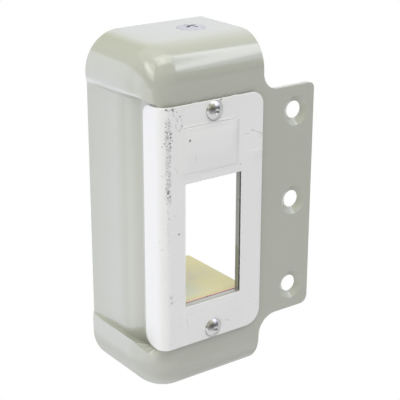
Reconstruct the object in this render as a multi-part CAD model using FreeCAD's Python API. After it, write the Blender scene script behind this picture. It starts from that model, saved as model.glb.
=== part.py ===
import FreeCAD, Part
import math
import os

V = FreeCAD.Vector

# ---------------------------------------------------------------- driving dimensions (mm)
# X runs from the closed left wall to the flange, Y from the front face to the back, Z up.
# The shapes are built from the corner of the cover and moved to the part's own origin at the end:
# the middle fixing hole, at the back face of the flange, which lies on the frame.
BOX_W = 39.05          # cover: left wall to open rim
BOX_D = 29.2           # cover: front face to back edge
BOX_H = 101.0          # cover: overall height
T = 1.5                # cover sheet
R_NOSE = 10.2          # outer radius where the front turns into the walls
R_TOP = 10.7           # outer corner radius, left wall to top wall
R_BOT = 12.4           # outer corner radius, left wall to bottom wall

FL_X = 57.36           # flange: outer edge
FL_Z0, FL_Z1 = 16.7, 85.05
FL_RT, FL_RB = 1.8, 2.5            # flange outer corners, top and bottom
FL_ROOT_T, FL_ROOT_B = 5.0, 6.0    # concave blends between rim and flange

HOLE_X = 50.96         # three fixing holes on one line
HOLE_Z = (24.05, 50.85, 77.65)
HOLE_D = 5.0
CSK_D = 8.8
CSK_T = 1.35

WIN_X0, WIN_X1 = 12.15, 31.01    # bolt window, plate and cover alike
WIN_Z0, WIN_Z1 = 27.48, 63.73
WIN_R = 0.35

PL_T = 0.8             # strike plate sheet
PL_X1 = 38.43
PL_Z0, PL_Z1 = 15.7, 85.7
PL_BEND = 3.0          # outer radius of the wrap
TAB_X = 4.23           # outer plane of the wrapped tab
TAB_Y1 = 7.6           # tab end
PL_R_TR, PL_R_BR = 4.0, 4.8      # plate corners on the flange side
TAB_R_T, TAB_R_B = 2.8, 3.8      # tab corners

RV_X = 21.58           # rivets
RV_Z = (18.7, 82.7)
RV_HEAD_D, RV_HEAD_H = 5.6, 1.25
RV_SHANK_D = 3.2
RV_HOLE_D = 3.3
RV_TAIL_D, RV_TAIL_H = 5.0, 0.9
RV_DIMPLE_D, RV_DIMPLE_H = 1.7, 0.35

SC_X, SC_Y = 27.77, 18.55         # cover screws, top and bottom
SC_HEAD_D = 8.05
SC_D = 4.0
SC_HOLE_D = 4.3
SC_PROUD = 0.45
SC_LEN = 9.0

BR_T = 2.0             # inner bracket sheet
BR_X0, BR_X1 = 7.0, 34.47
BR_Y0, BR_Y1 = 11.0, 27.7
SHELF_Y0, SHELF_Y1 = 1.75, 29.0
SHELF_Z = 27.58        # upper face of the shelf
BR_BEND = 3.0          # outer bend radius

# panel pressed into the left wall, open at the back: its floor runs in from the back edge on a hollow
# curve, then turns in behind the tab of the strike plate, down to the wall that the tab lies on
RC_X, RC_Y = 1.78, 17.15              # deepest point of the hollow curve, where the turn starts
RC_R1, RC_R2, RC_ANG = 52.0, 10.2, 47.0   # hollow radius, radius of the turn, angle turned
SEAT_X = 5.03                         # wall behind the tab
# lower ledge: the wall's edge and the floor's edge at stations along Y
LOW = (
    ((0.0, 34.0, 17.9), (0.30, 34.0, 18.7)), ((0.0, 29.2, 17.9), (0.365, 29.2, 18.5)), ((0.0, 26.7, 17.45), (0.89, 26.7, 18.2)),
    ((0.0, 24.0, 17.25), (1.33, 24.0, 17.75)), ((0.0, 20.7, 17.2), (1.66, 20.7, 17.45)), ((0.0, 17.0, 17.25), (1.78, 17.0, 17.35)),
    ((0.0, 14.3, 17.25), (2.20, 14.3, 16.95)), ((0.0, 11.8, 17.2), (3.31, 11.8, 16.0)), ((0.0, 9.8, 17.2), (5.03, 9.69, 15.0)),
    ((0.36, 7.51, 16.9), (5.03, 8.2, 15.1)), ((1.27, 5.27, 15.48), (5.03, 6.0, 15.3)), ((2.35, 3.69, 14.52), (5.03, 4.6, 15.4)),
    ((3.09, 2.89, 14.1), (5.03, 3.4, 15.45)), ((4.15, 1.99, 14.7), (5.03, 2.4, 15.5)), ((5.03, 1.407, 15.45), (5.4, 1.7, 15.45)),
    ((6.0, 0.905, 15.45), (6.3, 1.1, 15.45)),
)
# upper ledge, the same way
HIGH = (
    ((0.0, 34.0, 88.2), (0.30, 34.0, 86.8)), ((0.0, 29.2, 88.2), (0.365, 29.2, 86.8)), ((0.0, 26.7, 88.2), (0.89, 26.7, 86.8)),
    ((0.0, 24.0, 88.3), (1.33, 24.0, 86.7)), ((0.0, 20.7, 88.35), (1.66, 20.7, 86.65)), ((0.0, 17.0, 88.5), (1.78, 17.0, 86.6)),
    ((0.0, 14.3, 88.5), (2.20, 14.3, 86.45)), ((0.0, 11.8, 88.5), (3.31, 11.8, 86.1)), ((0.0, 9.8, 88.5), (5.03, 9.69, 86.0)),
    ((0.36, 7.51, 88.45), (5.03, 8.2, 86.1)), ((1.27, 5.27, 88.07), (5.03, 6.0, 86.1)), ((2.35, 3.69, 87.43), (5.03, 4.6, 86.1)),
    ((3.09, 2.89, 87.04), (5.03, 3.4, 86.1)), ((4.15, 1.99, 86.5), (5.03, 2.4, 86.08)), ((5.03, 1.407, 86.07), (5.4, 1.7, 86.05)),
    ((6.0, 0.905, 86.05), (6.3, 1.1, 86.05)),
)
# the wall is drawn in on its way to each ledge: depth, and height beyond the wall's edge
LOW_ROUND = ((0.0, 1.7), (0.14, 0.0))
HIGH_ROUND = ((0.0, 2.1), (0.10, 1.0), (0.44, -0.15))
LOW_DROP, HIGH_RISE = 1.9, 2.3        # how far the ledges of the inner skin lie behind those of the outer

os.makedirs("parts", exist_ok=True)


def arc(a, m, b):
    return Part.Arc(V(*a), V(*m), V(*b)).toShape()


def line(a, b):
    return Part.makeLine(V(*a), V(*b))


def prism(edges, direction):
    return Part.Face(Part.Wire(edges)).extrude(V(*direction))


def box(x0, x1, y0, y1, z0, z1):
    return Part.makeBox(x1 - x0, y1 - y0, z1 - z0, V(x0, y0, z0))


def cyl(d, h, p, axis):
    return Part.makeCylinder(d / 2.0, h, V(*p), V(*axis))


def poly(pts, direction):
    w = Part.makePolygon([V(*p) for p in pts] + [V(*pts[0])])
    return Part.Face(w).extrude(V(*direction))


C45 = math.cos(math.radians(45.0))


def round_prism(x0, x1, z0, z1, rt, rb, y0, y1, nose):
    """Box profile rounded on its closed side, pushed back in Y, with the front perimeter rounded."""
    e = [
        line((x1, y0, z1), (x0 + rt, y0, z1)),
        arc((x0 + rt, y0, z1), (x0 + rt - rt * C45, y0, z1 - rt + rt * C45), (x0, y0, z1 - rt)),
        line((x0, y0, z1 - rt), (x0, y0, z0 + rb)),
        arc((x0, y0, z0 + rb), (x0 + rb - rb * C45, y0, z0 + rb - rb * C45), (x0 + rb, y0, z0)),
        line((x0 + rb, y0, z0), (x1, y0, z0)),
        line((x1, y0, z0), (x1, y0, z1)),
    ]
    s = prism(e, (0, y1 - y0, 0))
    front = [
        ed for ed in s.Edges
        if all(abs(v.Point.y - y0) < 1e-6 for v in ed.Vertexes)
        and not all(abs(v.Point.x - x1) < 1e-6 for v in ed.Vertexes)
    ]
    return s.makeFillet(nose, front)


# ---------------------------------------------------------------- cover
FAR = BOX_W + 25.0
outer = round_prism(0.0, FAR, 0.0, BOX_H, R_TOP, R_BOT, 0.0, BOX_D, R_NOSE)
inner = round_prism(T, FAR, T, BOX_H - T, R_TOP - T, R_BOT - T, T, BOX_D + 5.0, R_NOSE - T)
keep = box(-1.0, BOX_W, -1.0, BOX_D, -1.0, BOX_H + 1.0)
outer = outer.common(keep)


def ledge(stations, rounding, sign, dz, cap):
    """Solid on one side of a ledge: above the lower one (sign 1) or below the upper one (sign -1)."""
    cols = []
    for r, b in stations:
        ux, uy = b[0] - r[0], b[1] - r[1]
        n = math.hypot(ux, uy)
        ux, uy = ux / n, uy / n
        sl = (b[2] - r[2]) / n
        flat = r[1] > 9.0
        if flat:
            far = (-4.0, r[1], r[2] - sign * 6.0)
            rim = [(min(x, 0.9 * x / rounding[-1][0] * b[0] * 0.5), r[1], r[2] - sign * h) for x, h in rounding]
        else:
            dx, dy = r[0] - R_NOSE, r[1] - R_NOSE
            m = math.hypot(dx, dy)
            far = (r[0] + 4.0 * dx / m, r[1] + 4.0 * dy / m, r[2] - sign * 6.0)
            rim = [r] * len(rounding)
        deep = (b[0] + 0.15 * ux, b[1] + 0.15 * uy, b[2] + 0.15 * sl)
        end = (b[0] + 2.9 * ux, b[1] + 2.9 * uy, b[2] + 0.3 * sl)
        cols.append([(x, y, z + dz) for x, y, z in [far] + rim + [deep, end]])
    faces = []

    def tri(*pts):
        if len({(round(p[0], 6), round(p[1], 6), round(p[2], 6)) for p in pts}) == 3:
            faces.append(Part.Face(Part.makePolygon([V(*q) for q in pts + pts[:1]])))

    for c, d in zip(cols, cols[1:]):
        for k in range(len(c) - 1):
            tri(c[k], c[k + 1], d[k + 1])
            tri(c[k], d[k + 1], d[k])
    ring = [c[0] for c in cols] + cols[-1][1:] + [c[-1] for c in cols[-2::-1]] + cols[0][-2:0:-1]
    ring = [p for p, q in zip(ring, ring[1:] + ring[:1]) if p != q]
    for p, q in zip(ring, ring[1:] + ring[:1]):
        faces.append(Part.Face(Part.makePolygon([V(*p), V(*q), V(q[0], q[1], cap), V(p[0], p[1], cap), V(*p)])))
    faces.append(Part.Face(Part.makePolygon([V(p[0], p[1], cap) for p in ring + ring[:1]])))
    s = Part.Solid(Part.makeShell(faces))
    if s.Volume < 0:
        s.reverse()
    return s


def panel(off):
    """What the pressed panel takes away; off is the sheet, for the inner skin."""
    y1 = BOX_D + 3.8
    c1, c2 = RC_X - RC_R1, RC_X + RC_R2
    r1, r2 = RC_R1 + off, RC_R2 - off
    a = math.radians(RC_ANG)

    def on1(y):
        return (c1 + math.sqrt(r1 * r1 - (y - RC_Y) ** 2), y, 0)

    def on2(t):
        return (c2 - r2 * math.cos(t), RC_Y - r2 * math.sin(t), 0)

    p0, p1, p2 = on1(y1), on2(0.0), on2(a)
    seat = SEAT_X + off
    p3 = (seat, p2[1] - (seat - p2[0]) * math.cos(a) / math.sin(a), 0)
    e = [
        line((-2, y1, 0), p0),
        arc(p0, on1((y1 + RC_Y) / 2), p1),
        arc(p1, on2(a / 2), p2),
        line(p2, p3),
        line(p3, (seat, -3, 0)),
        line((seat, -3, 0), (-2, -3, 0)),
        line((-2, -3, 0), (-2, y1, 0)),
    ]
    s = prism(e, (0, 0, BOX_H))
    lo = LOW_DROP if off else 0.0
    hi = HIGH_RISE if off else 0.0
    return s.common(ledge(LOW, LOW_ROUND, 1, -lo, 140.0)).common(ledge(HIGH, HIGH_ROUND, -1, hi, -40.0))


skin, core = outer.cut(panel(0.0)), inner.cut(panel(T))
cover = skin.cut(core)
# the corner under the bend of the strike plate follows the inside of that bend
rb = PL_BEND - PL_T
under = box(SEAT_X - 2.0, SEAT_X + rb, -3.0, rb, PL_Z0 - 0.3, PL_Z1 + 0.3)
under = under.cut(Part.makeCylinder(rb, 100.0, V(SEAT_X + rb, rb, 0.0), V(0, 0, 1)))
cover = cover.cut(under)

def window(y0, y1):
    r = WIN_R
    x0, x1, z0, z1 = WIN_X0, WIN_X1, WIN_Z0, WIN_Z1
    b = box(x0, x1, y0, y1, z0, z1)
    return b.makeFillet(r, [e for e in b.Edges if abs(e.Vertexes[0].Point.y - e.Vertexes[-1].Point.y) > 1e-6])


cover = cover.cut(window(-2.0, 4.0))
for z in RV_Z:
    cover = cover.cut(cyl(RV_HOLE_D, 6.0, (RV_X, -2.0, z), (0, 1, 0)))


def screw_pocket(sign):
    """Clearance hole with its countersink, through the top (sign 1) or bottom (sign -1) wall."""
    zf = BOX_H if sign > 0 else 0.0
    h = cyl(SC_HOLE_D, 8.0, (SC_X, SC_Y, zf + sign * 3.0), (0, 0, -sign))
    rr = (SC_HEAD_D + 0.25) / 2
    d = rr - SC_HOLE_D / 2
    cone = Part.makeCone(rr, SC_HOLE_D / 2, d, V(SC_X, SC_Y, zf + sign * 0.02), V(0, 0, -sign))
    lip = cyl(2 * rr, 2.0, (SC_X, SC_Y, zf + sign * 2.02), (0, 0, -sign))
    return h.fuse(cone).fuse(lip)


# the countersinks are deeper than the sheet, so their lower ends are dimples pressed inwards
def dimple(sign):
    zi = BOX_H - T if sign > 0 else T
    rr = (SC_HEAD_D + 0.25) / 2
    d = rr - SC_HOLE_D / 2
    depth = d - T + 0.5
    ro = SC_HOLE_D / 2 + 1.1
    return Part.makeCone(ro + depth * 1.0, ro, depth, V(SC_X, SC_Y, zi + sign * 0.0), V(0, 0, -sign))


for s in (1, -1):
    cover = cover.fuse(dimple(s))
for s in (1, -1):
    cover = cover.cut(screw_pocket(s))
cover = cover.removeSplitter()

# flange in the plane of the front, blended into the rim
fx0 = BOX_W
et, eb = FL_ROOT_T, FL_ROOT_B
fl_edges = [
    arc((BOX_W, 0, FL_Z0 - eb), (BOX_W + eb - eb * C45, 0, FL_Z0 - eb + eb * C45), (BOX_W + eb, 0, FL_Z0)),
    line((BOX_W + eb, 0, FL_Z0), (FL_X - FL_RB, 0, FL_Z0)),
    arc((FL_X - FL_RB, 0, FL_Z0), (FL_X - FL_RB + FL_RB * C45, 0, FL_Z0 + FL_RB - FL_RB * C45), (FL_X, 0, FL_Z0 + FL_RB)),
    line((FL_X, 0, FL_Z0 + FL_RB), (FL_X, 0, FL_Z1 - FL_RT)),
    arc((FL_X, 0, FL_Z1 - FL_RT), (FL_X - FL_RT + FL_RT * C45, 0, FL_Z1 - FL_RT + FL_RT * C45), (FL_X - FL_RT, 0, FL_Z1)),
    line((FL_X - FL_RT, 0, FL_Z1), (BOX_W + et, 0, FL_Z1)),
    arc((BOX_W + et, 0, FL_Z1), (BOX_W + et - et * C45, 0, FL_Z1 + et - et * C45), (BOX_W, 0, FL_Z1 + et)),
    line((fx0, 0, FL_Z1 + et), (fx0, 0, FL_Z0 - eb)),
]
flange = prism(fl_edges, (0, T, 0))

for z in HOLE_Z:
    flange = flange.cut(cyl(HOLE_D, 6.0, (HOLE_X, -2.0, z), (0, 1, 0)))
    k = (CSK_D - HOLE_D) / 2.0 / CSK_T
    flange = flange.cut(Part.makeCone(CSK_D / 2 + k * 0.2, HOLE_D / 2, CSK_T + 0.2, V(HOLE_X, -0.2, z), V(0, 1, 0)))
cover = cover.fuse(flange)

# ---------------------------------------------------------------- strike plate
ri, ro = PL_BEND - PL_T, PL_BEND
cxb, cyb = TAB_X + ro, ro - PL_T
sec = [
    line((PL_X1, 0, PL_Z0), (cxb, 0, PL_Z0)),
    arc((cxb, 0, PL_Z0), (cxb - ri * C45, cyb - ri * C45, PL_Z0), (cxb - ri, cyb, PL_Z0)),
    line((cxb - ri, cyb, PL_Z0), (cxb - ri, TAB_Y1, PL_Z0)),
    line((cxb - ri, TAB_Y1, PL_Z0), (TAB_X, TAB_Y1, PL_Z0)),
    line((TAB_X, TAB_Y1, PL_Z0), (TAB_X, cyb, PL_Z0)),
    arc((TAB_X, cyb, PL_Z0), (cxb - ro * C45, cyb - ro * C45, PL_Z0), (cxb, -PL_T, PL_Z0)),
    line((cxb, -PL_T, PL_Z0), (PL_X1, -PL_T, PL_Z0)),
    line((PL_X1, -PL_T, PL_Z0), (PL_X1, 0, PL_Z0)),
]
plate = prism(sec, (0, 0, PL_Z1 - PL_Z0))


def edge_at(shape, x, y, z, tol=0.05):
    out = []
    for e in shape.Edges:
        c = e.CenterOfMass
        if abs(c.x - x) < tol and abs(c.y - y) < tol and abs(c.z - z) < tol:
            out.append(e)
    return out


plate = plate.makeFillet(PL_R_TR, edge_at(plate, PL_X1, -PL_T / 2, PL_Z1))
plate = plate.makeFillet(PL_R_BR, edge_at(plate, PL_X1, -PL_T / 2, PL_Z0))
plate = plate.makeFillet(TAB_R_T, edge_at(plate, TAB_X + PL_T / 2, TAB_Y1, PL_Z1))
plate = plate.makeFillet(TAB_R_B, edge_at(plate, TAB_X + PL_T / 2, TAB_Y1, PL_Z0))
cover = cover.cut(plate)      # the lower ledge gives way to the corner of the tab
plate = plate.cut(window(-2.0, 1.0))
for z in RV_Z:
    plate = plate.cut(cyl(RV_HOLE_D, 4.0, (RV_X, -2.0, z), (0, 1, 0)))


# ---------------------------------------------------------------- rivets
def rivet(z):
    r, h = RV_HEAD_D / 2, RV_HEAD_H
    R = (r * r + h * h) / (2 * h)
    y0 = -PL_T
    ball = Part.makeSphere(R, V(RV_X, y0 - h + R, z))
    head = ball.common(box(RV_X - 5, RV_X + 5, y0 - h - 1, y0, z - 5, z + 5))
    s = head.fuse(cyl(RV_SHANK_D, PL_T + T, (RV_X, y0, z), (0, 1, 0)))
    tail = Part.makeCone(RV_TAIL_D / 2, RV_SHANK_D / 2 + 0.3, RV_TAIL_H, V(RV_X, T, z), V(0, 1, 0))
    s = s.fuse(tail)
    a, b = RV_DIMPLE_D / 2, RV_DIMPLE_H
    Rd = (a * a + b * b) / (2 * b)
    return s.cut(Part.makeSphere(Rd, V(RV_X, y0 - h + b - Rd, z))).removeSplitter()


# ---------------------------------------------------------------- cover screws
def screw(sign):
    zf = BOX_H if sign > 0 else 0.0
    r = SC_HEAD_D / 2
    d = r - SC_D / 2
    body = Part.makeCone(r, SC_D / 2, d, V(SC_X, SC_Y, zf), V(0, 0, -sign))
    # raised top of the head
    h = SC_PROUD
    R = (r * r + h * h) / (2 * h)
    ball = Part.makeSphere(R, V(SC_X, SC_Y, zf + sign * (h - R)))
    z0, z1 = sorted((zf, zf + sign * 2.0))
    body = body.fuse(ball.common(box(SC_X - 6, SC_X + 6, SC_Y - 6, SC_Y + 6, z0, z1)))
    body = body.fuse(cyl(SC_D, SC_LEN - 0.6, (SC_X, SC_Y, zf), (0, 0, -sign)))
    body = body.fuse(Part.makeCone(SC_D / 2, SC_D / 2 - 0.6, 0.6, V(SC_X, SC_Y, zf - sign * (SC_LEN - 0.6)), V(0, 0, -sign)))
    # cross recess
    L, w, dep = 4.4, 0.85, 1.9
    cut = None
    for k in (0, 1):
        ang = 25.0 + 90.0 * k
        top = [(-L / 2, -w / 2), (L / 2, -w / 2), (L / 2, w / 2), (-L / 2, w / 2)]
        bot = [(-L / 5, -w / 3), (L / 5, -w / 3), (L / 5, w / 3), (-L / 5, w / 3)]
        wa = Part.makePolygon([V(x, y, 0.0) for x, y in top + [top[0]]])
        wb = Part.makePolygon([V(x, y, -(dep + h)) for x, y in bot + [bot[0]]])
        w3 = Part.makeLoft([wa, wb], True)
        w3.rotate(V(0, 0, 0), V(0, 0, 1), ang)
        if sign < 0:
            w3.rotate(V(0, 0, 0), V(1, 0, 0), 180.0)
        w3.translate(V(SC_X, SC_Y, zf + sign * h))
        cut = w3 if cut is None else cut.fuse(w3)
    return body.cut(cut).removeSplitter()


# ---------------------------------------------------------------- inner bracket
zt, zb = BOX_H - T, T
# the pressed dimples of the cover rest on the flanges, which sit that much lower
SIT = (SC_HEAD_D + 0.25) / 2 - SC_HOLE_D / 2 - T + 0.5
zt, zb = zt - SIT, zb + SIT
ob, ib = BR_BEND, BR_BEND - BR_T
web = [
    line((BR_X1, BR_Y0, zt), (BR_X0 + ob, BR_Y0, zt)),
    arc((BR_X0 + ob, BR_Y0, zt), (BR_X0 + ob - ob * C45, BR_Y0, zt - ob + ob * C45), (BR_X0, BR_Y0, zt - ob)),
    line((BR_X0, BR_Y0, zt - ob), (BR_X0, BR_Y0, zb + ob)),
    arc((BR_X0, BR_Y0, zb + ob), (BR_X0 + ob - ob * C45, BR_Y0, zb + ob - ob * C45), (BR_X0 + ob, BR_Y0, zb)),
    line((BR_X0 + ob, BR_Y0, zb), (BR_X1, BR_Y0, zb)),
    line((BR_X1, BR_Y0, zb), (BR_X1, BR_Y0, zb + BR_T)),
    line((BR_X1, BR_Y0, zb + BR_T), (BR_X0 + ob, BR_Y0, zb + BR_T)),
    arc((BR_X0 + ob, BR_Y0, zb + BR_T), (BR_X0 + ob - ib * C45, BR_Y0, zb + ob - ib * C45), (BR_X0 + BR_T, BR_Y0, zb + ob)),
    line((BR_X0 + BR_T, BR_Y0, zb + ob), (BR_X0 + BR_T, BR_Y0, zt - ob)),
    arc((BR_X0 + BR_T, BR_Y0, zt - ob), (BR_X0 + ob - ib * C45, BR_Y0, zt - ob + ib * C45), (BR_X0 + ob, BR_Y0, zt - BR_T)),
    line((BR_X0 + ob, BR_Y0, zt - BR_T), (BR_X1, BR_Y0, zt - BR_T)),
    line((BR_X1, BR_Y0, zt - BR_T), (BR_X1, BR_Y0, zt)),
]
bracket = prism(web, (0, BR_Y1 - BR_Y0, 0))
# forward part of the web and the shelf lanced out of it
LZ1 = SHELF_Z + (BR_X1 - BR_X0) - 1.0      # top of the opening that the shelf leaves
bracket = bracket.fuse(box(BR_X0, BR_X0 + BR_T, SHELF_Y0 + 1.0, BR_Y0, SHELF_Z - BR_T - 3.0, LZ1 + 4.0))
bracket = bracket.cut(box(BR_X0 - 1, BR_X0 + BR_T + 1, SHELF_Y0 + 3.5, SHELF_Y1 - 3.5, SHELF_Z - BR_T + ob, LZ1))
zs = SHELF_Z - BR_T
shelf = [
    line((BR_X0, SHELF_Y0 + 3.5, zs + ob), (BR_X0 + BR_T, SHELF_Y0 + 3.5, zs + ob)),
    arc((BR_X0 + BR_T, SHELF_Y0 + 3.5, zs + ob), (BR_X0 + ob - ib * C45, SHELF_Y0 + 3.5, zs + ob - ib * C45), (BR_X0 + ob, SHELF_Y0 + 3.5, SHELF_Z)),
    line((BR_X0 + ob, SHELF_Y0 + 3.5, SHELF_Z), (BR_X0 + ob + 1, SHELF_Y0 + 3.5, SHELF_Z)),
    line((BR_X0 + ob + 1, SHELF_Y0 + 3.5, SHELF_Z), (BR_X0 + ob + 1, SHELF_Y0 + 3.5, zs)),
    line((BR_X0 + ob + 1, SHELF_Y0 + 3.5, zs), (BR_X0 + ob, SHELF_Y0 + 3.5, zs)),
    arc((BR_X0 + ob, SHELF_Y0 + 3.5, zs), (BR_X0 + ob - ob * C45, SHELF_Y0 + 3.5, zs + ob - ob * C45), (BR_X0, SHELF_Y0 + 3.5, zs + ob)),
]
bend = prism(shelf, (0, SHELF_Y1 - SHELF_Y0 - 7.0, 0))
bracket = bracket.cut(box(BR_X0 - 1, BR_X0 + BR_T + 1, SHELF_Y0 + 3.5, SHELF_Y1 - 3.5, zs - 0.5, zs + ob))
bracket = bracket.fuse(bend)
sx0 = BR_X0 + ob + 0.5
pts = [
    (sx0, SHELF_Y0 + 3.5, zs), (sx0, SHELF_Y1 - 3.5, zs), (sx0 + 1.0, SHELF_Y1, zs), (BR_X1, SHELF_Y1, zs),
    (BR_X1, SHELF_Y0, zs), (sx0 + 1.0, SHELF_Y0, zs),
]
bracket = bracket.fuse(poly(pts, (0, 0, BR_T)))
for z in (zt + 1.0, zb - 1.0):
    s = -1 if z > 50 else 1
    bracket = bracket.cut(cyl(SC_D + 0.1, 6.0, (SC_X, SC_Y, z), (0, 0, s)))
bracket = bracket.removeSplitter()

parts = {
    "cover_shell": cover,
    "strike_plate": plate,
    "rivet_top": rivet(RV_Z[1]),
    "rivet_bottom": rivet(RV_Z[0]),
    "inner_bracket": bracket,
    "cover_screw_top": screw(1),
    "cover_screw_bottom": screw(-1),
}
ORIGIN = V(HOLE_X, T, HOLE_Z[1])
for name, shape in parts.items():
    if shape.ShapeType == "Compound" and len(shape.Solids) == 1:
        shape = shape.Solids[0]
    shape = shape.copy()
    shape.translate(-ORIGIN)
    shape.exportStep("parts/%s.step" % name)
    print(name, "solids", len(shape.Solids), "valid", shape.isValid(), "volume %.1f" % shape.Volume)
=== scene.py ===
import bpy, bmesh, math, random
from mathutils import Vector, Matrix
import numpy as np


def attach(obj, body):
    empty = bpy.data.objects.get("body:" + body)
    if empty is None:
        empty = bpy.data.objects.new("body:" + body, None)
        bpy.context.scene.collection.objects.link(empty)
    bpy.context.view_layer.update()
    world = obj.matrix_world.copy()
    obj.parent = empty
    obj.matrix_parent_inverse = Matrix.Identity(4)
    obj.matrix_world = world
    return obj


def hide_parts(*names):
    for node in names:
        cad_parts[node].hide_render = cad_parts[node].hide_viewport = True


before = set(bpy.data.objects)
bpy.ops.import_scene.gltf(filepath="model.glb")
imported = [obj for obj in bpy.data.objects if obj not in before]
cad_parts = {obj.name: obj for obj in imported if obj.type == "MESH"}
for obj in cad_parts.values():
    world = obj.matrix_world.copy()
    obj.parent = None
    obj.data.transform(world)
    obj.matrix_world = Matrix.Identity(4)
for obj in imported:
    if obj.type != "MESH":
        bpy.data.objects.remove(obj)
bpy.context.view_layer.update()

random.seed(7)
MM = 0.001
OX, OY, OZ = 50.96, 1.5, 50.85          # the cover's corner frame to the part's origin, mm


def P(x, y, z):
    return Vector(((x - OX) * MM, (y - OY) * MM, (z - OZ) * MM))


# ------------------------------------------------------------------ node helpers
def new_mat(name):
    m = bpy.data.materials.new(name)
    m.use_nodes = True
    nt = m.node_tree
    for n in list(nt.nodes):
        nt.nodes.remove(n)
    out = nt.nodes.new("ShaderNodeOutputMaterial")
    bsdf = nt.nodes.new("ShaderNodeBsdfPrincipled")
    nt.links.new(bsdf.outputs[0], out.inputs[0])
    return m, nt, bsdf


def N(nt, kind, **kw):
    n = nt.nodes.new(kind)
    for k, v in kw.items():
        if k.startswith("i_"):
            key = k[2:]
            key = int(key) if key.isdigit() else key.replace("_", " ")
            n.inputs[key].default_value = v
        else:
            setattr(n, k, v)
    return n


def coords(nt):
    return N(nt, "ShaderNodeTexCoord").outputs["Object"]


def noise(nt, vec, scale, detail=3.0, rough=0.55):
    n = N(nt, "ShaderNodeTexNoise")
    n.inputs["Scale"].default_value = scale
    n.inputs["Detail"].default_value = detail
    n.inputs["Roughness"].default_value = rough
    nt.links.new(vec, n.inputs["Vector"])
    return n.outputs["Fac"]


def ramp(nt, fac, stops):
    r = N(nt, "ShaderNodeValToRGB")
    nt.links.new(fac, r.inputs["Fac"])
    el = r.color_ramp.elements
    while len(el) < len(stops):
        el.new(0.5)
    for e, (p, c) in zip(el, stops):
        e.position = p
        e.color = (*c, 1.0) if len(c) == 3 else c
    return r.outputs["Color"]


def math_(nt, op, a, b=None, clamp=False):
    m = N(nt, "ShaderNodeMath", operation=op, use_clamp=clamp)
    for i, v in enumerate((a, b)):
        if v is None:
            continue
        if isinstance(v, (int, float)):
            m.inputs[i].default_value = v
        else:
            nt.links.new(v, m.inputs[i])
    return m.outputs[0]


def mixc(nt, fac, a, b, mode="MIX"):
    m = N(nt, "ShaderNodeMix", data_type="RGBA", blend_type=mode)
    if isinstance(fac, (int, float)):
        m.inputs["Factor"].default_value = fac
    else:
        nt.links.new(fac, m.inputs["Factor"])
    for i, v in ((6, a), (7, b)):
        if isinstance(v, tuple):
            m.inputs[i].default_value = (*v, 1.0)
        else:
            nt.links.new(v, m.inputs[i])
    return m.outputs[2]


def bump(nt, height, strength, dist):
    b = N(nt, "ShaderNodeBump")
    b.inputs["Strength"].default_value = strength
    b.inputs["Distance"].default_value = dist
    nt.links.new(height, b.inputs["Height"])
    return b.outputs["Normal"]


def lin(r, g, b):
    def f(c):
        c /= 255.0
        return c / 12.92 if c <= 0.04045 else ((c + 0.055) / 1.055) ** 2.4
    return (f(r), f(g), f(b))


# ------------------------------------------------------------------ materials
def enamel():
    m, nt, b = new_mat("grey_enamel")
    v = coords(nt)
    big = noise(nt, v, 22.0, 2.0)
    fine = noise(nt, v, 900.0, 2.0)
    base = ramp(nt, big, [(0.35, (0.445, 0.456, 0.397)), (0.65, (0.456, 0.467, 0.411))])
    base = mixc(nt, 0.04, base, ramp(nt, fine, [(0.3, (0.36, 0.37, 0.33)), (0.7, (0.56, 0.57, 0.53))]))
    # painted highlight: a paler band of enamel along the upper ledge of the left wall's panel, standing in for the
    # bright line light draws on that ledge
    x, y, z = mm(nt)
    g = math_(nt, "MULTIPLY", math_(nt, "SUBTRACT", z, 88.15), 1.35)
    g = math_(nt, "EXPONENT", math_(nt, "MULTIPLY", math_(nt, "MULTIPLY", g, g), -1.0))
    ledge_highlight_paint = mul(nt, g, ease(nt, x, 3.6, 2.2), ease(nt, y, 3.0, 8.0))
    base = mixc(nt, math_(nt, "MULTIPLY", ledge_highlight_paint, 0.8), base, (0.68, 0.685, 0.66))
    inside = mul(nt, ease(nt, y, 0.02, 0.12), ease(nt, y, 1.7, 1.5), ease(nt, z, 25.4, 25.8), ease(nt, z, 65.4, 65.0))
    jamb = mul(nt, inside, ease(nt, x, 30.2, 30.6), ease(nt, x, 33.0, 32.5))
    sill = mul(nt, inside, ease(nt, x, 11.0, 12.0), ease(nt, x, 31.0, 30.6), ease(nt, z, 28.0, 27.7))
    base = mixc(nt, math_(nt, "MULTIPLY", jamb, 0.62), base, (0.13, 0.13, 0.095))
    base = mixc(nt, math_(nt, "MULTIPLY", sill, 0.30), base, (0.15, 0.15, 0.13))
    nt.links.new(base, b.inputs["Base Color"])
    rough = ramp(nt, fine, [(0.3, (0.06, 0.06, 0.06)), (0.7, (0.09, 0.09, 0.09))])
    nt.links.new(rough, b.inputs["Roughness"])
    b.inputs["IOR"].default_value = 1.62
    nt.links.new(bump(nt, noise(nt, v, 200.0, 2.0), 0.04, 0.0002), b.inputs["Normal"])
    return m


def mm(nt):
    """Object coordinates as millimetres in the cover's corner frame."""
    sp = N(nt, "ShaderNodeSeparateXYZ")
    nt.links.new(coords(nt), sp.inputs[0])
    out = []
    for i, o in enumerate((OX, OY, OZ)):
        m = N(nt, "ShaderNodeMath", operation="MULTIPLY_ADD")
        nt.links.new(sp.outputs[i], m.inputs[0])
        m.inputs[1].default_value = 1000.0
        m.inputs[2].default_value = o
        out.append(m.outputs[0])
    return out


def ease(nt, v, lo, hi):
    m = N(nt, "ShaderNodeMapRange", interpolation_type="SMOOTHSTEP")
    m.inputs["From Min"].default_value = lo
    m.inputs["From Max"].default_value = hi
    nt.links.new(v, m.inputs["Value"])
    return m.outputs["Result"]


def mul(nt, *v):
    out = v[0]
    for w in v[1:]:
        out = math_(nt, "MULTIPLY", out, w)
    return out


def top_of(nt, vs):
    out = vs[0]
    for w in vs[1:]:
        out = math_(nt, "MAXIMUM", out, w)
    return out


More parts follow.
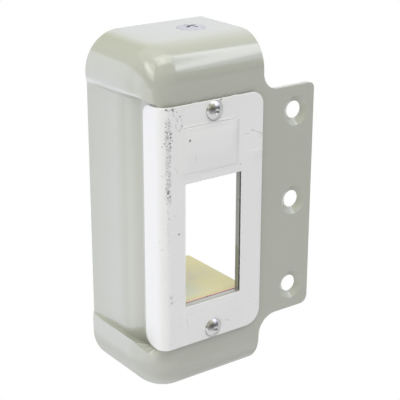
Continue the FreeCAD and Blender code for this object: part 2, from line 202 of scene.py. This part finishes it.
def plane(nt, x, z):
    c = N(nt, "ShaderNodeCombineXYZ")
    nt.links.new(x, c.inputs[0])
    nt.links.new(z, c.inputs[1])
    return c.outputs[0]


def vmath(nt, op, a, b=None):
    m = N(nt, "ShaderNodeVectorMath", operation=op)
    for i, v in enumerate((a, b)):
        if v is None:
            continue
        if isinstance(v, tuple):
            m.inputs[i].default_value = v
        else:
            nt.links.new(v, m.inputs[i])
    return m


def spot(nt, p, x, z, r, soft=0.12):
    d = vmath(nt, "DISTANCE", p, (x, z, 0.0)).outputs["Value"]
    return ease(nt, d, r + soft, max(r - soft, 0.0))


def stroke(nt, p, a, b, w, soft=0.08):
    """Thin line from a to b, both (x, z)."""
    d = (b[0] - a[0], b[1] - a[1])
    n2 = d[0] ** 2 + d[1] ** 2
    rel = vmath(nt, "SUBTRACT", p, (a[0], a[1], 0.0)).outputs[0]
    t = vmath(nt, "DOT_PRODUCT", rel, (d[0] / n2, d[1] / n2, 0.0)).outputs["Value"]
    t = math_(nt, "ADD", t, 0.0, clamp=True)
    sc = vmath(nt, "SCALE", (d[0], d[1], 0.0))
    nt.links.new(t, sc.inputs["Scale"])
    dist = vmath(nt, "DISTANCE", rel, sc.outputs[0]).outputs["Value"]
    return ease(nt, dist, w + soft, max(w - soft, 0.0))


def ring(nt, p, x, z, rx, rz, w):
    q = vmath(nt, "MULTIPLY", vmath(nt, "SUBTRACT", p, (x, z, 0.0)).outputs[0], (1.0 / rx, 1.0 / rz, 0.0)).outputs[0]
    d = math_(nt, "ABSOLUTE", math_(nt, "SUBTRACT", vmath(nt, "LENGTH", q).outputs["Value"], 1.0))
    return ease(nt, d, w * 1.6, w * 0.5)


def white_paint():
    m, nt, b = new_mat("white_paint")
    v = coords(nt)
    x, y, z = mm(nt)
    p = plane(nt, x, z)
    big = noise(nt, v, 60.0, 3.0)
    base = ramp(nt, big, [(0.3, (0.795, 0.795, 0.795)), (0.7, (0.815, 0.815, 0.815))])
    base = mixc(nt, ease(nt, x, 6.2, 4.6), base, (0.745, 0.742, 0.725))
    speck = noise(nt, v, 2300.0, 2.0, 0.5)
    grain = noise(nt, v, 900.0, 3.0, 0.6)

    # rubbed line of grey specks along the start of the bend, thickest near the top
    band = mul(nt, ease(nt, x, 5.0, 6.3), ease(nt, x, 7.9, 7.1))
    narrow = mul(nt, ease(nt, x, 5.9, 6.3), ease(nt, x, 7.1, 6.7))
    dense = mul(nt, band, ease(nt, z, 72.5, 76.5), ease(nt, z, 84.8, 80.5))
    mid = mul(nt, band, ease(nt, z, 57.5, 60.0), ease(nt, z, 80.0, 74.0))
    trail = mul(nt, narrow, ease(nt, z, 60.2, 60.8), ease(nt, z, 66.0, 64.5))
    low = mul(nt, narrow, ease(nt, z, 30.0, 52.0), ease(nt, z, 62.0, 60.0))
    foot = mul(nt, ease(nt, x, 6.0, 6.8), ease(nt, x, 8.6, 7.6), ease(nt, z, 28.8, 30.0), ease(nt, z, 33.4, 32.0))
    cap = mul(nt, ease(nt, x, 5.4, 6.4), ease(nt, x, 9.6, 8.4), ease(nt, z, 84.6, 85.0), ease(nt, z, 85.7, 85.4))
    e = top_of(nt, [math_(nt, "MULTIPLY", dense, 0.95), math_(nt, "MULTIPLY", mid, 0.80), trail,
                    math_(nt, "MULTIPLY", low, 0.55), math_(nt, "MULTIPLY", foot, 0.6), math_(nt, "MULTIPLY", cap, 0.9), 0.10])
    th = math_(nt, "SUBTRACT", 0.71, math_(nt, "MULTIPLY", e, 0.215))
    over = math_(nt, "SUBTRACT", speck, th)
    specks = mul(nt, ease(nt, over, 0.0, 0.07), ease(nt, e, 0.05, 0.2))
    haze = mul(nt, ease(nt, e, 0.25, 0.9), ease(nt, grain, 0.35, 0.65))

    # single marks
    dark = [spot(nt, p, *q) for q in (
        (13.58, 75.71, 0.34), (7.47, 78.69, 0.30), (6.35, 79.1, 0.18), (7.40, 77.7, 0.25), (7.85, 76.75, 0.16), (7.15, 76.15, 0.22),
        (7.30, 75.1, 0.26), (5.75, 76.2, 0.17), (5.2, 75.35, 0.13), (10.35, 82.95, 0.19), (9.3, 84.25, 0.14), (10.95, 80.2, 0.18),
        (9.55, 81.75, 0.12), (6.05, 85.3, 0.24), (7.95, 85.15, 0.22), (8.2, 84.65, 0.20), (7.05, 61.4, 0.26), (6.55, 62.4, 0.27),
        (6.62, 63.1, 0.20), (9.87, 49.94, 0.27), (23.71, 85.35, 0.26), (30.64, 65.86, 0.14), (7.1, 31.9, 0.15))]
    faint = [spot(nt, p, *q) for q in (
        (8.45, 55.5, 0.22), (4.95, 46.3, 0.2), (4.65, 48.4, 0.18), (16.6, 29.0, 0.18), (17.5, 29.4, 0.15), (17.4, 28.0, 0.18),
        (6.9, 17.6, 0.18), (10.3, 25.0, 0.16), (5.2, 67.3, 0.22), (10.5, 31.5, 0.16), (11.5, 32.0, 0.14), (25.0, 74.9, 0.1),
        (12.4, 25.2, 0.16), (20.4, 74.0, 0.1), (16.96, 25.82, 0.15), (17.93, 25.18, 0.17), (14.36, 25.01, 0.13), (36.75, 23.46, 0.16),
        (35.39, 22.65, 0.13), (37.16, 21.75, 0.15), (10.08, 22.39, 0.15), (23.82, 21.16, 0.14), (27.22, 19.39, 0.12), (9.27, 31.02, 0.12),
        (11.4, 30.98, 0.13), (8.85, 27.55, 0.12), (36.45, 36.15, 0.14), (16.27, 21.76, 0.12), (11.44, 20.69, 0.13), (24.58, 20.31, 0.12))]
    lines = [stroke(nt, p, *q) for q in (
        ((34.4, 75.1), (35.0, 74.8), 0.16), ((35.0, 74.8), (37.0, 74.0), 0.05), ((37.0, 73.9), (38.2, 73.3), 0.13),
        ((32.0, 74.25), (33.5, 74.3), 0.08), ((37.3, 72.5), (38.1, 72.9), 0.09), ((8.67, 68.97), (9.7, 67.5), 0.05),
        ((15.7, 71.4), (15.5, 69.6), 0.04), ((12.4, 23.9), (12.5, 22.9), 0.07), ((12.95, 22.3), (12.9, 21.1), 0.05),
        ((26.0, 19.9), (27.6, 19.2), 0.04), ((29.0, 66.2), (17.0, 66.1), 0.02))]
    rings = top_of(nt, [ring(nt, p, 9.9, 84.3, 1.75, 1.9, 0.09), ring(nt, p, 10.05, 80.8, 1.05, 1.8, 0.12)])
    rings = mul(nt, rings, ease(nt, noise(nt, v, 1500.0, 2.0), 0.42, 0.62))
    # torn paint along the top of the window
    tear = mul(nt, ease(nt, z, 64.15, 63.85), ease(nt, z, 63.0, 63.4), ease(nt, x, 12.0, 14.0), ease(nt, x, 31.0, 30.0),
               ease(nt, noise(nt, v, 1700.0, 2.0), 0.55, 0.68))
    # bare cut edge on the far side of the window
    cut = mul(nt, ease(nt, x, 30.7, 30.95), ease(nt, x, 31.4, 31.1), ease(nt, z, 27.0, 27.4), ease(nt, z, 64.0, 63.8), ease(nt, y, -0.78, -0.62))
    cutc = ramp(nt, noise(nt, v, 1500.0, 2.0), [(0.42, (0.02, 0.02, 0.02)), (0.60, (0.10, 0.10, 0.095)), (0.68, (0.30, 0.30, 0.29))])

    col = mixc(nt, math_(nt, "MULTIPLY", haze, 0.44), base, (0.44, 0.44, 0.44))
    col = mixc(nt, math_(nt, "MULTIPLY", rings, 0.45), col, (0.34, 0.34, 0.34))
    col = mixc(nt, math_(nt, "MULTIPLY", top_of(nt, faint), 0.35), col, (0.42, 0.41, 0.38))
    col = mixc(nt, math_(nt, "MULTIPLY", top_of(nt, lines), 0.50), col, (0.32, 0.32, 0.31))
    col = mixc(nt, math_(nt, "MULTIPLY", specks, 0.62), col, (0.22, 0.22, 0.22))
    col = mixc(nt, math_(nt, "MULTIPLY", tear, 0.6), col, (0.25, 0.25, 0.24))
    col = mixc(nt, math_(nt, "MULTIPLY", top_of(nt, dark), 0.80), col, (0.09, 0.09, 0.09))
    col = mixc(nt, cut, col, cutc)
    # painted shade: the plate's top edge, a bare cut edge, darkened to give the dark shadow line under the cover's
    # upper ledge
    lip = mul(nt, ease(nt, z, 85.3, 85.6), ease(nt, y, -0.66, -0.50), ease(nt, x, 6.0, 8.0))
    col = mixc(nt, mul(nt, lip, ease(nt, grain, 0.25, 0.5)), col, (0.16, 0.155, 0.14))
    lip = mul(nt, ease(nt, z, 27.95, 27.65), ease(nt, z, 26.2, 26.5), ease(nt, y, -0.78, -0.58), ease(nt, x, 11.5, 12.2), ease(nt, x, 31.4, 30.9))
    col = mixc(nt, mul(nt, lip, 0.75), col, (0.30, 0.30, 0.285))
    nt.links.new(col, b.inputs["Base Color"])
    b.inputs["Roughness"].default_value = 0.36
    b.inputs["IOR"].default_value = 1.45
    b.inputs["Specular IOR Level"].default_value = 0.3

    # a shallow blank panel pressed out above the window, with a sharp line along its upper edge
    h = mul(nt, ease(nt, x, 9.0, 12.0), ease(nt, x, 30.3, 29.3), ease(nt, z, 79.35, 78.8), ease(nt, z, 64.9, 67.4))
    h = math_(nt, "MULTIPLY", h, 0.20)
    g = math_(nt, "SUBTRACT", z, 79.52)
    g = math_(nt, "MULTIPLY", math_(nt, "EXPONENT", math_(nt, "MULTIPLY", math_(nt, "MULTIPLY", g, g), -26.0), 0.0), 0.16)
    h = math_(nt, "ADD", h, mul(nt, g, ease(nt, x, 11.2, 12.2), ease(nt, x, 29.0, 28.0)))
    upper = mul(nt, ease(nt, z, 80.15, 79.75), ease(nt, x, 11.2, 12.2), ease(nt, x, 30.0, 28.8))
    h = math_(nt, "ADD", h, math_(nt, "MULTIPLY", upper, 0.10))
    g2 = math_(nt, "SUBTRACT", z, 66.2)
    g2 = math_(nt, "MULTIPLY", math_(nt, "EXPONENT", math_(nt, "MULTIPLY", math_(nt, "MULTIPLY", g2, g2), -22.0)), -0.045)
    h = math_(nt, "ADD", h, mul(nt, g2, ease(nt, x, 9.5, 13.5), ease(nt, x, 30.3, 29.0)))
    swell = mul(nt, ease(nt, z, 78.6, 75.0), ease(nt, x, 10.0, 15.0), ease(nt, x, 30.3, 27.0), ease(nt, z, 66.0, 72.0))
    h = math_(nt, "ADD", h, math_(nt, "MULTIPLY", swell, 0.42))
    # dent in the edge on the flange side
    d = mul(nt, ease(nt, z, 69.35, 68.85), ease(nt, z, 65.5, 68.6), ease(nt, x, 32.0, 37.6))
    h = math_(nt, "ADD", h, math_(nt, "MULTIPLY", d, 0.30))
    h = math_(nt, "ADD", h, math_(nt, "MULTIPLY", noise(nt, v, 180.0, 3.0), 0.05))
    h = math_(nt, "SUBTRACT", h, math_(nt, "MULTIPLY", top_of(nt, dark), 0.05))
    nt.links.new(bump(nt, h, 1.0, 0.001), b.inputs["Normal"])
    return m


def steel(name, col, rough, heads=(), rim_shade_radii=()):
    m, nt, b = new_mat(name)
    v = coords(nt)
    n = noise(nt, v, 700.0, 4.0)
    tint = ramp(nt, n, [(0.3, tuple(c * 0.9 for c in col)), (0.7, col)])
    if heads:
        x, y, z = mm(nt)
        p = plane(nt, x, z)
        # painted shade: a dark ring round the edge of each rivet head
        for hx, hz in heads:
            d = vmath(nt, "DISTANCE", p, (hx, hz, 0.0)).outputs["Value"]
            tint = mixc(nt, mul(nt, ease(nt, d, rim_shade_radii[0], rim_shade_radii[1]), ease(nt, d, rim_shade_radii[1] + 0.9, rim_shade_radii[1] + 0.5), 0.72), tint, (0.24, 0.24, 0.23))
    nt.links.new(tint, b.inputs["Base Color"])
    b.inputs["Metallic"].default_value = 1.0
    nt.links.new(ramp(nt, n, [(0.3, (rough,) * 3), (0.7, (rough + 0.1,) * 3)]), b.inputs["Roughness"])
    return m


def zinc():
    m, nt, b = new_mat("yellow_zinc")
    v = coords(nt)
    x, y, z = mm(nt)
    n = noise(nt, v, 90.0, 3.0)
    fine = noise(nt, v, 500.0, 3.0)
    col = ramp(nt, n, [(0.35, (0.64, 0.61, 0.375)), (0.55, (0.68, 0.635, 0.35)), (0.75, (0.70, 0.625, 0.325))])
    p = plane(nt, x, y)
    # pale bluish blush and a mauve cloud, as thin passivation shows
    blush = ease(nt, vmath(nt, "LENGTH", vmath(nt, "MULTIPLY", vmath(nt, "SUBTRACT", p, (17.0, 9.0, 0.0)).outputs[0],
                 (1.0 / 8.5, 1.0 / 9.0, 0.0)).outputs[0]).outputs["Value"], 1.15, 0.2)
    mauve = ease(nt, vmath(nt, "LENGTH", vmath(nt, "MULTIPLY", vmath(nt, "SUBTRACT", p, (22.5, 16.5, 0.0)).outputs[0],
                 (1.0 / 7.5, 1.0 / 6.0, 0.0)).outputs[0]).outputs["Value"], 1.1, 0.2)
    col = mixc(nt, mul(nt, blush, 0.85), col, (0.565, 0.595, 0.465))
    col = mixc(nt, mul(nt, mauve, ease(nt, noise(nt, v, 330.0, 3.0), 0.38, 0.62), 0.7), col, (0.585, 0.535, 0.45))
    col = mixc(nt, mul(nt, ease(nt, y, 4.6, 2.6), 0.7), col, (0.60, 0.545, 0.26))
    edge = mul(nt, ease(nt, y, 2.12, 1.92), ease(nt, z, 20.0, 25.0), ease(nt, z, 32.0, 30.0))
    pink = ramp(nt, fine, [(0.34, (0.20, 0.12, 0.13)), (0.42, (0.80, 0.42, 0.46)), (0.75, (0.92, 0.62, 0.62))])
    col = mixc(nt, edge, col, pink)
    nt.links.new(col, b.inputs["Base Color"])
    b.inputs["Metallic"].default_value = 0.45
    b.inputs["Roughness"].default_value = 0.45
    nt.links.new(bump(nt, fine, 0.15, 0.0002), b.inputs["Normal"])
    return m


M_EN, M_WH = enamel(), white_paint()
M_RV, M_SC = steel("rivet_steel", (0.66, 0.66, 0.65), 0.26, ((21.58, 18.7), (21.58, 82.7)), (2.45, 2.62)), steel("screw_steel", (0.56, 0.56, 0.56), 0.24)
M_ZN = zinc()


# ------------------------------------------------------------------ sheet pieces with eased edges
def eased(node, name, mat, width, angle=27.0, soft=None, segs=3):
    """The node's own shape with its sharp edges rounded like painted sheet."""
    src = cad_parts[node]
    me = src.data.copy()
    bm = bmesh.new()
    bm.from_mesh(me)
    bmesh.ops.remove_doubles(bm, verts=bm.verts, dist=2e-6)
    bmesh.ops.dissolve_limit(bm, angle_limit=math.radians(0.4), verts=bm.verts, edges=bm.edges,
                             use_dissolve_boundaries=False)
    bmesh.ops.dissolve_degenerate(bm, edges=bm.edges, dist=2e-6)
    lay = bm.edges.layers.float.get("bevel_weight_edge") or bm.edges.layers.float.new("bevel_weight_edge")
    for e in bm.edges:
        if len(e.link_faces) == 2:
            a = e.calc_face_angle(0.0)
            if a > math.radians(angle):
                e[lay] = 1.0
        e.smooth = True
    if soft:
        soft(bm, lay)
    for f in bm.faces:
        f.smooth = True
    bm.to_mesh(me)
    bm.free()
    ob = bpy.data.objects.new(name, me)
    bpy.context.scene.collection.objects.link(ob)
    me.materials.clear()
    me.materials.append(mat)
    mod = ob.modifiers.new("ease", "BEVEL")
    mod.width = width * MM
    mod.segments = segs
    mod.limit_method = "WEIGHT"
    mod.harden_normals = True
    mod.use_clamp_overlap = True
    mod.miter_outer = "MITER_ARC"
    w = ob.modifiers.new("wn", "WEIGHTED_NORMAL")
    w.keep_sharp = True
    w.weight = 50
    bpy.context.view_layer.update()
    dg = bpy.context.evaluated_depsgraph_get()
    out = bpy.data.meshes.new_from_object(ob.evaluated_get(dg), preserve_all_data_layers=True, depsgraph=dg)
    ob.modifiers.clear()
    ob.data = out
    print(name, "faces", len(out.polygons))
    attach(ob, "root")
    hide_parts(node)
    return ob


cover = eased("cover_shell", "cover_skin", M_EN, 0.28)
plate = eased("strike_plate", "plate_skin", M_WH, 0.18)
for n, m in (("rivet_top", M_RV), ("rivet_bottom", M_RV), ("inner_bracket", M_ZN),
             ("cover_screw_top", M_SC), ("cover_screw_bottom", M_SC)):
    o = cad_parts[n]
    for s in o.material_slots:
        s.material = m

# ------------------------------------------------------------------ camera
EYE = (-158.731, -240.351, 168.174)
YAW, PITCH, ROLL = 36.243, 20.292, 0.134
a, e, r = (math.radians(t) for t in (YAW, PITCH, ROLL))
fwd = Vector((math.sin(a) * math.cos(e), math.cos(a) * math.cos(e), -math.sin(e)))
right0 = Vector((math.cos(a), -math.sin(a), 0.0))
up0 = right0.cross(fwd)
rx = right0 * math.cos(r) + up0 * math.sin(r)
ux = -right0 * math.sin(r) + up0 * math.cos(r)
cam = bpy.data.objects.new("camera", bpy.data.cameras.new("camera"))
bpy.context.scene.collection.objects.link(cam)
mat = Matrix((rx, ux, -fwd)).transposed().to_4x4()
mat.translation = P(*EYE)
cam.matrix_world = mat
cam.data.lens = 105.34
cam.data.sensor_width = 36.0
cam.data.clip_start = 0.01
cam.data.clip_end = 20.0
bpy.context.scene.camera = cam

# ------------------------------------------------------------------ light
# The room is a map over directions (azimuth from +Y towards +X, elevation), in degrees.
world = bpy.data.worlds.new("studio")
bpy.context.scene.world = world
world.use_nodes = True
wn = world.node_tree
for n in list(wn.nodes):
    wn.nodes.remove(n)
gen = N(wn, "ShaderNodeTexCoord").outputs["Generated"]
sep = N(wn, "ShaderNodeSeparateXYZ")
wn.links.new(gen, sep.inputs[0])
az = math_(wn, "MULTIPLY", math_(wn, "ARCTAN2", sep.outputs[0], sep.outputs[1]), 57.29578)
el = math_(wn, "MULTIPLY", math_(wn, "ARCSINE", sep.outputs[2]), 57.29578)
azf = math_(wn, "WRAP", az, 360.0)          # 0..360, for boxes that cross the seam behind the camera
azf.node.inputs[2].default_value = 0.0


def step(v, lo, hi):
    m = N(wn, "ShaderNodeMapRange", interpolation_type="SMOOTHSTEP")
    m.inputs["From Min"].default_value = lo
    m.inputs["From Max"].default_value = hi
    wn.links.new(v, m.inputs["Value"])
    return m.outputs["Result"]


def zone(a0, a1, e0, e1, sa=6.0, se=6.0, wrap=False):
    """1 inside the box of directions, falling off over sa and se degrees."""
    v = azf if wrap else az
    m = math_(wn, "MULTIPLY", step(v, a0 - sa, a0 + sa), step(v, a1 + sa, a1 - sa))
    n = math_(wn, "MULTIPLY", step(el, e0 - se, e0 + se), step(el, e1 + se, e1 - se))
    return math_(wn, "MULTIPLY", m, n)


ONE = math_(wn, "ADD", 1.0, 0.0)
ZONES = {}


def paint(name, mask, rgb):
    """Lay a colour of light over what is there so far, where the mask is 1."""
    global col
    col = mixc(wn, mask, col, rgb)
    ZONES[name] = col.node
    col.node.label = "zone " + name


def amul(*v):
    out = v[0]
    for w in v[1:]:
        out = math_(wn, "MULTIPLY", out, w)
    return out


rgb0 = N(wn, "ShaderNodeRGB")
rgb0.outputs[0].default_value = (0.0, 0.0, 0.0, 1.0)
col = rgb0.outputs[0]


def sector(a0, a1, s=12.0):
    """1 between the azimuths a0 and a1, given in 0..360; a0 > a1 runs through the back."""
    if a0 < a1:
        return amul(step(azf, a0 - s, a0 + s), step(azf, a1 + s, a1 - s))
    return math_(wn, "MAXIMUM", step(azf, a0 - s, a0 + s), step(azf, a1 + s, a1 - s))


def above(e, s=5.0):
    return step(el, e - s, e + s)


LIGHT = {
    "mid_turn": (0.2, 0.21, 0.1),
    "low_card": (0.62, 0.62, 0.62),
    "deep": (0.91, 0.916, 0.931), "near_front": (1.02, 1, 1.01), "near_mid": (1.09, 1.06, 1.09),
    "near_left": (0.76, 0.784, 0.825), "near_side": (1.09, 1.1, 1.12), "near_back": (0.634, 0.643, 0.636),
    "far_front": (0.444, 0.42, 0.448), "far_right": (0.62, 0.64, 0.7), "far_left": (0.659, 0.657, 0.665),
    "far_side": (0.918, 0.919, 0.946), "far_turn": (1.25, 1.25, 1.25), "far_back": (0.993, 0.983, 0.976),
    "far_rear": (0.746, 0.74, 0.74), "near_rear": (0.664, 0.66, 0.672), "mid_back": (0.989, 1, 1.15),
    "mid_right": (0.968, 0.96, 0.993), "mid_front": (0, 0, 0), "dark": (0.06, 0.055, 0.04), "up_left": (0.131, 0.14, 0.101),
    "up_back": (0.389, 0.38, 0.189), "up_right": (1.22, 1.22, 1.35), "up_front": (0.457, 0.44, 0.313),
    "high_left": (0.906, 0.92, 0.847), "high_side": (0.798, 0.805, 0.782), "high_back": (1.05, 1.05, 0.891),
    "high_front": (0.732, 0.76, 0.661), "zenith": (1.46, 1.47, 1.4), "left": (1.33, 1.33, 1.56),
    "left_side": (2.06, 2.08, 2.3), "left_turn": (2.1, 2.12, 2.2), "softbox": (1.34, 1.45, 1.79),
    "strip": (4.28, 4.3, 4.91), "panel": (3.23, 3.2, 3.01), "blob": (4.73, 4.7, 4.69), "leaf": (2.29, 2.35, 2.06),
    "streak": (4.69, 4.7, 4.62),
}


def lay(name, mask):
    paint(name, mask, LIGHT.get(name, (1.0, 1.0, 1.0)))


lay("deep", ONE)
m = above(-60.0)
lay("near_front", amul(m, sector(105.0, 165.0)))
lay("near_mid", amul(m, sector(163.0, 238.0)))
lay("near_left", amul(m, sector(265.0, 345.0)))
lay("near_side", amul(m, sector(235.0, 265.0)))
lay("near_back", amul(m, sector(30.0, 105.0)))
lay("near_rear", amul(m, sector(340.0, 30.0)))
m = above(-32.0)
lay("far_front", amul(m, sector(160.0, 222.0)))
lay("far_right", amul(m, sector(105.0, 160.0)))
lay("far_left", amul(m, sector(285.0, 340.0)))
lay("far_side", amul(m, sector(252.0, 285.0)))
lay("far_turn", amul(m, sector(224.0, 252.0, 8.0)))
lay("far_back", amul(m, sector(32.0, 105.0)))
lay("far_rear", amul(m, sector(336.0, 32.0)))
lay("low_card", amul(sector(326.0, 12.0, 7.0), step(el, -46.0, -38.0), step(el, -20.0, -28.0)))
m = above(-8.0, 4.0)
lay("mid_back", amul(m, sector(345.0, 75.0)))
lay("mid_right", amul(m, sector(75.0, 112.0)))
lay("mid_front", amul(m, sector(112.0, 160.0)))
lay("dark", amul(m, sector(160.0, 226.0)))
lay("mid_turn", amul(m, sector(222.0, 275.0, 6.0)))
# upper rings
m = above(22.0, 3.0)
lay("up_left", amul(m, sector(222.0, 305.0)))
lay("up_back", amul(m, sector(305.0, 20.0)))
lay("up_right", amul(m, sector(20.0, 112.0)))
lay("up_front", amul(m, sector(112.0, 222.0)))
m = above(50.0)
lay("high_left", amul(m, sector(262.0, 320.0)))
lay("high_side", amul(m, sector(205.0, 262.0)))
lay("high_back", amul(m, sector(320.0, 100.0)))
lay("high_front", amul(m, sector(100.0, 205.0)))
lay("zenith", above(74.0))
# the white wall on the left; its top edge falls towards the camera's side
EDGE = ((-160.0, -20.0), (-140.0, -16.0), (-133.0, -13.0), (-124.0, -5.0), (-115.0, 7.0), (-102.0, 17.0), (-87.0, 24.0), (-73.0, 28.5),
        (-50.0, 25.5), (-33.0, 20.5), (-26.0, 20.5), (0.0, 20.0))
azn = N(wn, "ShaderNodeMapRange", clamp=True)
azn.inputs["From Min"].default_value = -160.0
azn.inputs["From Max"].default_value = 0.0
wn.links.new(az, azn.inputs["Value"])
edge = ramp(wn, azn.outputs["Result"], [((t + 160.0) / 160.0, ((h + 20.0) / 60.0,) * 3) for t, h in EDGE])
top_l = math_(wn, "SUBTRACT", el, math_(wn, "SUBTRACT", math_(wn, "MULTIPLY", edge, 60.0), 20.0))
lm = amul(step(top_l, 1.5, -1.5), step(el, -36.0, -24.0), step(az, -142.0, -132.0))
lay("left", amul(lm, step(az, -87.0, -63.0), step(az, 20.0, 0.0)))
lay("left_side", amul(lm, step(az, -122.0, -98.0), step(az, -63.0, -87.0)))
lay("left_turn", amul(lm, step(az, -98.0, -122.0)))
# lamps: a wide soft one with a brighter line across it, a square one on the left and a round one between them
lay("softbox", amul(step(az, 98.0, 108.0), step(az, 148.0, 142.0), step(el, 13.0, 22.0), step(el, 54.0, 48.0)))
ln = math_(wn, "ABSOLUTE", math_(wn, "SUBTRACT", el, math_(wn, "SUBTRACT", 142.0, math_(wn, "MULTIPLY", az, 0.8))))
lay("strip", amul(step(ln, 6.5, 1.5), step(az, 104.0, 114.0), step(az, 149.0, 142.0)))
up = math_(wn, "MAXIMUM", sep.outputs[2], 0.05)
cu, cv = math_(wn, "DIVIDE", sep.outputs[0], up), math_(wn, "DIVIDE", sep.outputs[1], up)     # where a ray meets the ceiling
lay("panel", amul(step(cu, -0.33, -0.23), step(cu, 0.72, 0.58), step(cv, -0.78, -0.66), step(cv, -0.07, -0.19), above(36.0, 4.0)))
ru, rv = math_(wn, "SUBTRACT", cu, 0.06), math_(wn, "ADD", cv, 0.44)
rr = math_(wn, "SQRT", math_(wn, "ADD", math_(wn, "MULTIPLY", ru, ru), math_(wn, "MULTIPLY", rv, rv)))
lay("blob", amul(step(rr, 0.24, 0.06), above(36.0, 4.0)))
ec = math_(wn, "SUBTRACT", el, 4.0)
azl = math_(wn, "ADD", math_(wn, "MULTIPLY", ec, 0.6), math_(wn, "MULTIPLY", math_(wn, "MULTIPLY", ec, ec), 0.012))
ins = math_(wn, "SUBTRACT", math_(wn, "SUBTRACT", azl, 142.0), az)      # degrees inside the leaf's left edge
leaf = amul(step(ins, -3.0, 4.0), step(az, -143.5, -138.5), step(el, 4.0, 12.0), step(el, 68.0, 50.0))
lay("leaf", leaf)
lay("streak", amul(leaf, step(ins, 4.0, 12.0), step(ins, 30.0, 20.0), step(el, 58.0, 50.0), step(el, 26.0, 36.0)))

bg = N(wn, "ShaderNodeBackground")
wn.links.new(col, bg.inputs[0])
bg_cam = N(wn, "ShaderNodeBackground")
bg_cam.inputs[0].default_value = (1, 1, 1, 1)
bg_cam.inputs[1].default_value = 1.0
mixs = N(wn, "ShaderNodeMixShader")
wo = N(wn, "ShaderNodeOutputWorld")
wn.links.new(N(wn, "ShaderNodeLightPath").outputs["Is Camera Ray"], mixs.inputs[0])
wn.links.new(bg.outputs[0], mixs.inputs[1])
wn.links.new(bg_cam.outputs[0], mixs.inputs[2])
wn.links.new(mixs.outputs[0], wo.inputs[0])

sc = bpy.context.scene
sc.view_settings.view_transform = "Standard"
sc.view_settings.look = "None"
